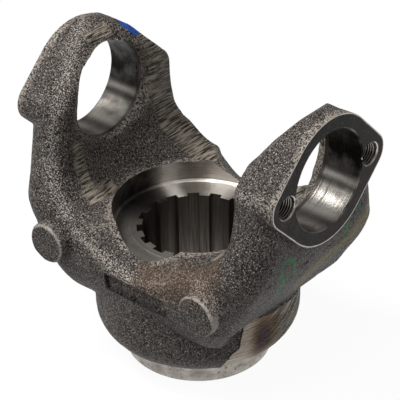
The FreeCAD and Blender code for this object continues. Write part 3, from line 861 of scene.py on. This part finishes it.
def forge_scale():
    """Hot forged steel, shot blasted: dark iron oxide with craters, and painted glints on its grains. Sheared
    flash lines and the ground patch show bare steel, edges are rubbed lighter, the edges of the panel and the
    patch carry painted shade, and stains and paint lie on top."""
    colours, sizes = bpy.context.scene.yoke_colours, bpy.context.scene.yoke_sizes
    material, tree, shader = new_material("blasted forge scale", Specular_IOR_Level=0.2)
    place = add(tree, "ShaderNodeTexCoord", {}, "Object")
    crater = add(tree, "ShaderNodeTexNoise",
                 {"Vector": place, "Scale": 1 / sizes.grit, "Detail": 3.0, "Roughness": 0.7})
    # Painted glints: the first noise picks grains that are drawn bright
    painted_glint, cloud = (
        add(tree, "ShaderNodeTexNoise", {"Vector": place, "Scale": scale, "Detail": detail})
        for scale, detail in ((1.6 / sizes.grit, 1.0), (60.0, 3.0)))
    wear, highlit_ridge_distance, turn, heat, *borders = (
        add(tree, "ShaderNodeAttribute", {}, "Fac", attribute_name=name)
        for name in ("wear", "rubbed", "turn", "temper", "panel", "ground"))
    painted_panel_edge_shade, painted_patch_edge_shade = (
        add(tree, "ShaderNodeMath", {"Value": border}, operation="ABSOLUTE") for border in borders)

    top = add(tree, "ShaderNodeMapRange", {"Value": crater, "From Min": 0.44, "From Max": 0.57})
    rubbed = add(tree, "ShaderNodeMapRange",
                 {"Value": wear, "From Min": 0.12, "From Max": 0.45, "To Max": 0.9})
    rubbed = add(tree, "ShaderNodeMath", {"Value": rubbed, "Value_001": top}, operation="MULTIPLY")
    # Painted highlight: more glints near the rubbed ridges
    ridge_highlight = add(tree, "ShaderNodeMapRange",
               {"Value": highlit_ridge_distance, "From Min": 1.0, "From Max": 6.0, "To Min": 0.1, "To Max": 0.0})
    glints_and_ridge_highlight = add(tree, "ShaderNodeMath", {"Value": painted_glint, "Value_001": ridge_highlight}, operation="ADD")
    base = coated(
        tree, colours.pit,
        (colours.scale, top),
        (colours.pit, cloud, 0.4, 0.75, 0.0, 0.45),
        # Hollows, where the wear value is below zero, are darkened towards the pit colour
        (colours.pit, wear, -0.04, -0.3, 0.0, 0.5),
        (colours.worn, rubbed),
        (colours.grain, glints_and_ridge_highlight, 0.60, 0.69, 0.0, 0.65),
        # Painted shade: a dark line round the edge of the sunk panel
        (colours.pit, painted_panel_edge_shade, 0.4, 1.1, 0.9, 0.0))

    stroke = tool_lines(tree, sizes.stroke, 0.012)
    sheared = ragged_mark(tree, "sheared", place, 3.0, 0.9)
    steel = coated(tree, colours.pit, (colours.sheared, stroke, 0.43, 0.58, 0.0, 1.0))
    base = coated(tree, base, (steel, sheared, 0.0, 1.0, 0.0, 0.8))

    line = tool_lines(tree, sizes.grind, 0.020)
    ground = ragged_mark(tree, "ground", place, 0.3, 0.12)
    bright = coated(tree, colours.sheared, (colours.ground, line, 0.45, 0.55, 0.0, 1.0))
    dark = coated(tree, colours.pit, (colours.sheared, line, 0.47, 0.58, 0.0, 1.0))
    steel = coated(
        tree, bright,
        (dark, turn, -10.0, -5.0, 0.0, 1.0),
        (colours.straw, heat, 0.15, 0.6, 0.0, 0.9),
        (colours.violet, heat, 0.62, 0.85, 0.0, 0.85))
    base = coated(
        tree, base,
        (steel, ground),
        # Painted shade: a dark ragged line along the step round the ground patch
        (colours.pit, painted_patch_edge_shade, 0.35, 0.9, 0.95, 0.0))

    for name, amount, soft, cover, paint in (
            # Rims of the bosses: worn, with a painted highlight in the grain colour
            ("boss_rim_worn_and_highlit", 2.0, 0.4, 0.6, colours.grain),
            ("yellow", 7.0, 3.0, 0.6, colours.olive),
            ("lip", 3.0, 4.0, 0.22, colours.rust),
            ("green", 1.6, 0.5, 0.95, colours.green),
            ("blue", 2.2, 0.35, 0.9, colours.blue)):
        mark = ragged_mark(tree, name, place, amount, soft)
        base = coated(tree, base, (paint, mark, 0.0, 1.0, 0.0, cover))

    bare = add(tree, "ShaderNodeMapRange", {"Value": ground, "To Min": 0.08, "To Max": 0.9})
    rough = add(tree, "ShaderNodeMapRange",
                {"Value": crater, "From Min": 0.35, "From Max": 0.65, "To Min": 0.62, "To Max": 0.42})
    left = add(tree, "ShaderNodeMath", {"Value": 1.0, "Value_001": ground}, operation="SUBTRACT")
    height = add(tree, "ShaderNodeMath", {"Value": crater, "Value_001": left}, operation="MULTIPLY")
    for lines, mark, share in ((stroke, sheared, 1.1), (line, ground, 3.0)):
        within = add(tree, "ShaderNodeMath", {"Value": lines, "Value_001": mark}, operation="MULTIPLY")
        height = add(tree, "ShaderNodeMath", {"Value": within, "Value_001": share, "Value_002": height},
                     operation="MULTIPLY_ADD")
    normal = add(tree, "ShaderNodeBump", {"Height": height, "Distance": sizes.crater})
    return finished(material, tree, shader, Base_Color=base, Metallic=bare, Roughness=rough, Normal=normal)


def turned_steel():
    """Turned steel: fine rings of the tool, a few specks of rust, dark oil with painted shade, and bands of
    painted highlight where the oil is wiped off. The rough mouths of the bores are grimy."""
    colours, sizes = bpy.context.scene.yoke_colours, bpy.context.scene.yoke_sizes
    material, tree, shader = new_material("turned steel")
    place = add(tree, "ShaderNodeTexCoord", {}, "Object")
    across, rust, oil_with_painted_shade, mouth, painted_highlight_share = (
        add(tree, "ShaderNodeAttribute", {}, "Fac", attribute_name=name)
        for name in ("across", "rust", "oil_with_painted_shade", "mouth", "painted_highlight"))
    count = add(tree, "ShaderNodeMath", {"Value": across, "Value_001": 0.001 / sizes.feed},
                operation="MULTIPLY")
    rings = add(tree, "ShaderNodeTexNoise", {"W": count, "Scale": 1.0, "Detail": 3.0}, noise_dimensions="1D")
    film, speck = (
        add(tree, "ShaderNodeTexNoise", {"Vector": place, "Scale": scale, "Detail": detail})
        for scale, detail in ((110.0, 3.0), (650.0, 1.0)))
    speck = add(tree, "ShaderNodeMath", {"Value": speck, "Value_001": rust}, operation="ADD")
    # Painted shade: the share of oil and shade, less the painted highlights, darkens the steel towards the
    # milled colour
    oil_with_painted_shade = add(tree, "ShaderNodeMath", {"Value": oil_with_painted_shade, "Value_001": painted_highlight_share}, operation="SUBTRACT")
    uneven = add(tree, "ShaderNodeMath", {"Value": film, "Value_001": 0.6, "Value_002": -0.25},
                 operation="MULTIPLY_ADD")
    oil_with_painted_shade = add(tree, "ShaderNodeMath", {"Value": oil_with_painted_shade, "Value_001": uneven}, operation="ADD", use_clamp=True)
    grime = coated(tree, colours.pit, (colours.scale, film))
    base = coated(
        tree, colours.turned,
        (colours.worn, rings, 0.35, 0.65, 0.0, 0.35),
        (colours.worn, film, 0.4, 0.7, 0.0, 0.5),
        (colours.rust, speck, 0.72, 0.78, 0.0, 0.7),
        (colours.milled, oil_with_painted_shade),
        (grime, mouth, 1.6, 2.2, 0.85, 0.0))
    rough = add(tree, "ShaderNodeMapRange",
                {"Value": film, "From Min": 0.35, "From Max": 0.65, "To Min": 0.34, "To Max": 0.46})
    # Less metal within the painted highlights, so that the lamps light those bands brighter
    bare = add(tree, "ShaderNodeMapRange", {"Value": painted_highlight_share, "To Min": 1.0, "To Max": 0.15})
    normal = add(tree, "ShaderNodeBump", {"Height": rings, "Distance": 0.0002})
    return finished(material, tree, shader, Base_Color=base, Metallic=bare, Roughness=rough, Normal=normal)


def milled_steel():
    """Face milled pad, drawn nearly black, and thinly bright along its edge."""
    colours = bpy.context.scene.yoke_colours
    material, tree, shader = new_material("oiled milled steel", Metallic=1.0)
    place = add(tree, "ShaderNodeTexCoord", {}, "Object")
    film = add(tree, "ShaderNodeTexNoise", {"Vector": place, "Scale": 140.0, "Detail": 4.0})
    fine = add(tree, "ShaderNodeTexNoise", {"Vector": place, "Scale": 800.0, "Detail": 2.0})
    inwards = add(tree, "ShaderNodeAttribute", {}, "Fac", attribute_name="pad_edge")
    uneven = add(tree, "ShaderNodeMath", {"Value": film, "Value_001": 0.5, "Value_002": inwards},
                 operation="MULTIPLY_ADD")
    base = coated(
        tree, colours.milled,
        (colours.scale, film, 0.45, 0.75, 0.0, 0.35),
        (colours.sheared, fine, 0.62, 0.74, 0.0, 0.25),
        (colours.turned, uneven, 0.65, 0.95, 0.9, 0.0))
    rough = add(tree, "ShaderNodeMapRange",
                {"Value": film, "From Min": 0.35, "From Max": 0.65, "To Min": 0.40, "To Max": 0.52})
    normal = add(tree, "ShaderNodeBump", {"Height": fine, "Distance": 0.00004})
    return finished(material, tree, shader, Base_Color=base, Roughness=rough, Normal=normal)


def broached_steel():
    """Broached steel, grey under oil, with faint lines along the grooves."""
    colours = bpy.context.scene.yoke_colours
    material, tree, shader = new_material("broached steel", Metallic=1.0)
    place = add(tree, "ShaderNodeTexCoord", {}, "Object")
    long = add(tree, "ShaderNodeMapping", {"Vector": place, "Scale": (1.0, 1.0, 0.05)})
    line = add(tree, "ShaderNodeTexNoise", {"Vector": long, "Scale": 1100.0, "Detail": 3.0})
    base = coated(tree, colours.scale, (colours.broached, line, 0.3, 0.7, 0.0, 1.0))
    rough = add(tree, "ShaderNodeMapRange",
                {"Value": line, "From Min": 0.3, "From Max": 0.7, "To Min": 0.5, "To Max": 0.38})
    normal = add(tree, "ShaderNodeBump", {"Height": line, "Distance": 0.00004})
    return finished(material, tree, shader, Base_Color=base, Roughness=rough, Normal=normal)


def tapped_steel():
    """Cut threads and their countersinks: bright at the crests and the mouths, with painted shade in the
    roots and down the holes.
    """
    colours = bpy.context.scene.yoke_colours
    material, tree, shader = new_material("tapped steel", Metallic=1.0, Roughness=0.34)
    place = add(tree, "ShaderNodeTexCoord", {}, "Object")
    fine = add(tree, "ShaderNodeTexNoise", {"Vector": place, "Scale": 600.0, "Detail": 2.0})
    crest = add(tree, "ShaderNodeAttribute", {}, "Fac", attribute_name="crest")
    # Painted shade: pit and scale colours everywhere but at the crests
    base = coated(
        tree, colours.pit,
        (colours.scale, fine),
        (colours.turned, crest, 0.6, 1.0, 0.0, 1.0))
    return finished(material, tree, shader, Base_Color=base)


FLOOR_COLOUR = "#9c9c9c"
FLOOR_GLOW = 1.1
FLOOR_SHARE = 0.86


def studio_floor():
    """Matt white board. Camera, glossy and transmission rays see it nearly white, with a soft shadow left."""
    material, tree, shader = new_material(
        "white studio board", Base_Color=(*linear(FLOOR_COLOUR), 1), Roughness=1.0, Specular_IOR_Level=0.0)
    rays = add(tree, "ShaderNodeLightPath", {}).node.outputs
    seen = rays["Is Camera Ray"]
    for kind in ("Is Glossy Ray", "Is Transmission Ray"):
        seen = add(tree, "ShaderNodeMath", {"Value": seen, "Value_001": rays[kind]}, operation="MAXIMUM")
    white = add(tree, "ShaderNodeEmission", {"Color": (1, 1, 1, 1), "Strength": FLOOR_GLOW})
    part = add(tree, "ShaderNodeMath", {"Value": seen, "Value_001": FLOOR_SHARE}, operation="MULTIPLY")
    mixed = add(tree, "ShaderNodeMixShader", {"Fac": part, "Shader": shader.outputs[0], "Shader_001": white})
    tree.links.new(mixed, tree.nodes["Material Output"].inputs["Surface"])
    return material


# Stage

# Each lamp's name, place and width in metres, and power in watts
LAMPS = (
    ("left top box", (-0.42, -0.40, 1.18), 0.35, 17.5),
    ("camera side box", (0.15, -0.60, 1.1), 0.35, 6.0),
    ("right strip", (0.62, -0.10, 0.9), 0.12, 1.2),
)
LAMP_TARGET = Vector((0, 0, 0.08))
ROOM_LIGHT = 0.21

# The camera as it was fitted to the photograph
CAMERA_PLACE = (0.48740, -0.56299, 0.54635)
CAMERA_TURN = math.radians(40.884)
CAMERA_RISE = math.radians(31.889)
CAMERA_ROLL = -0.0104
CAMERA_LENS = 162.7
CAMERA_SHIFT = (0.00615, -0.0002)


class YOKE_OT_stage(bpy.types.Operator):
    """Sets up a white floor, soft lamps and the camera of the photograph"""
    bl_idname = "yoke.stage"
    bl_label = "Stage"

    def execute(self, context):
        scene = context.scene
        scene.view_settings.view_transform = "Standard"
        bpy.ops.mesh.primitive_plane_add(size=8)
        floor = context.active_object
        floor.name = "floor"
        floor.data.materials.append(studio_floor())
        floor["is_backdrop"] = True

        scene.world = bpy.data.worlds.new("soft grey room")
        scene.world.use_nodes = True
        room = scene.world.node_tree.nodes["Background"]
        room.inputs["Color"].default_value = (1, 1, 1, 1)
        room.inputs["Strength"].default_value = ROOM_LIGHT

        for name, place, width, power in LAMPS:
            lamp = bpy.data.lights.new(name, "AREA")
            lamp.size = width
            lamp.energy = power
            holder = bpy.data.objects.new(name, lamp)
            holder.location = place
            holder.rotation_euler = (Vector(place) - LAMP_TARGET).to_track_quat("Z", "Y").to_euler()
            scene.collection.objects.link(holder)

        flat = math.cos(CAMERA_RISE)
        back = Vector((math.sin(CAMERA_TURN) * flat, -math.cos(CAMERA_TURN) * flat, math.sin(CAMERA_RISE)))
        right = Vector((math.cos(CAMERA_TURN), math.sin(CAMERA_TURN), 0))
        up = back.cross(right)
        cosine, sine = math.cos(CAMERA_ROLL), math.sin(CAMERA_ROLL)
        view = bpy.data.cameras.new("photo view")
        view.sensor_width = 36
        view.lens = CAMERA_LENS
        view.shift_x, view.shift_y = CAMERA_SHIFT
        view.clip_start = 0.05
        camera = bpy.data.objects.new("photo view", view)
        turned = Matrix((right * cosine + up * sine, up * cosine - right * sine, back))
        camera.rotation_euler = turned.transposed().to_euler()
        camera.location = CAMERA_PLACE
        scene.collection.objects.link(camera)
        scene.camera = camera
        return {"FINISHED"}


class YOKE_PT_panel(bpy.types.Panel):
    """Lists the yoke's sizes, colours and pieces"""
    bl_idname = "YOKE_PT_panel"
    bl_label = "Forged yoke"
    bl_space_type = "VIEW_3D"
    bl_region_type = "UI"
    bl_category = "Yoke"

    def draw(self, context):
        for group in (context.scene.yoke_sizes, context.scene.yoke_colours):
            for name in group.__annotations__:
                self.layout.prop(group, name)
        for operator in OPERATORS:
            self.layout.operator(operator.bl_idname)


OPERATORS = (YOKE_OT_forging, YOKE_OT_threads, YOKE_OT_stage)
CLASSES = (YokeSizes, YokeColours, *OPERATORS, YOKE_PT_panel)


def register():
    """Makes the classes and their settings known to Blender."""
    for item in CLASSES:
        bpy.utils.register_class(item)
    bpy.types.Scene.yoke_sizes = bpy.props.PointerProperty(type=YokeSizes)
    bpy.types.Scene.yoke_colours = bpy.props.PointerProperty(type=YokeColours)


def unregister():
    """Takes the classes and their settings out again."""
    del bpy.types.Scene.yoke_colours
    del bpy.types.Scene.yoke_sizes
    for item in reversed(CLASSES):
        bpy.utils.unregister_class(item)


def main():
    """Makes every piece and the stage."""
    register()
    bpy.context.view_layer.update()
    bpy.ops.yoke.forging()
    bpy.ops.yoke.threads()
    bpy.ops.yoke.stage()


if __name__ == "__main__":
    main()
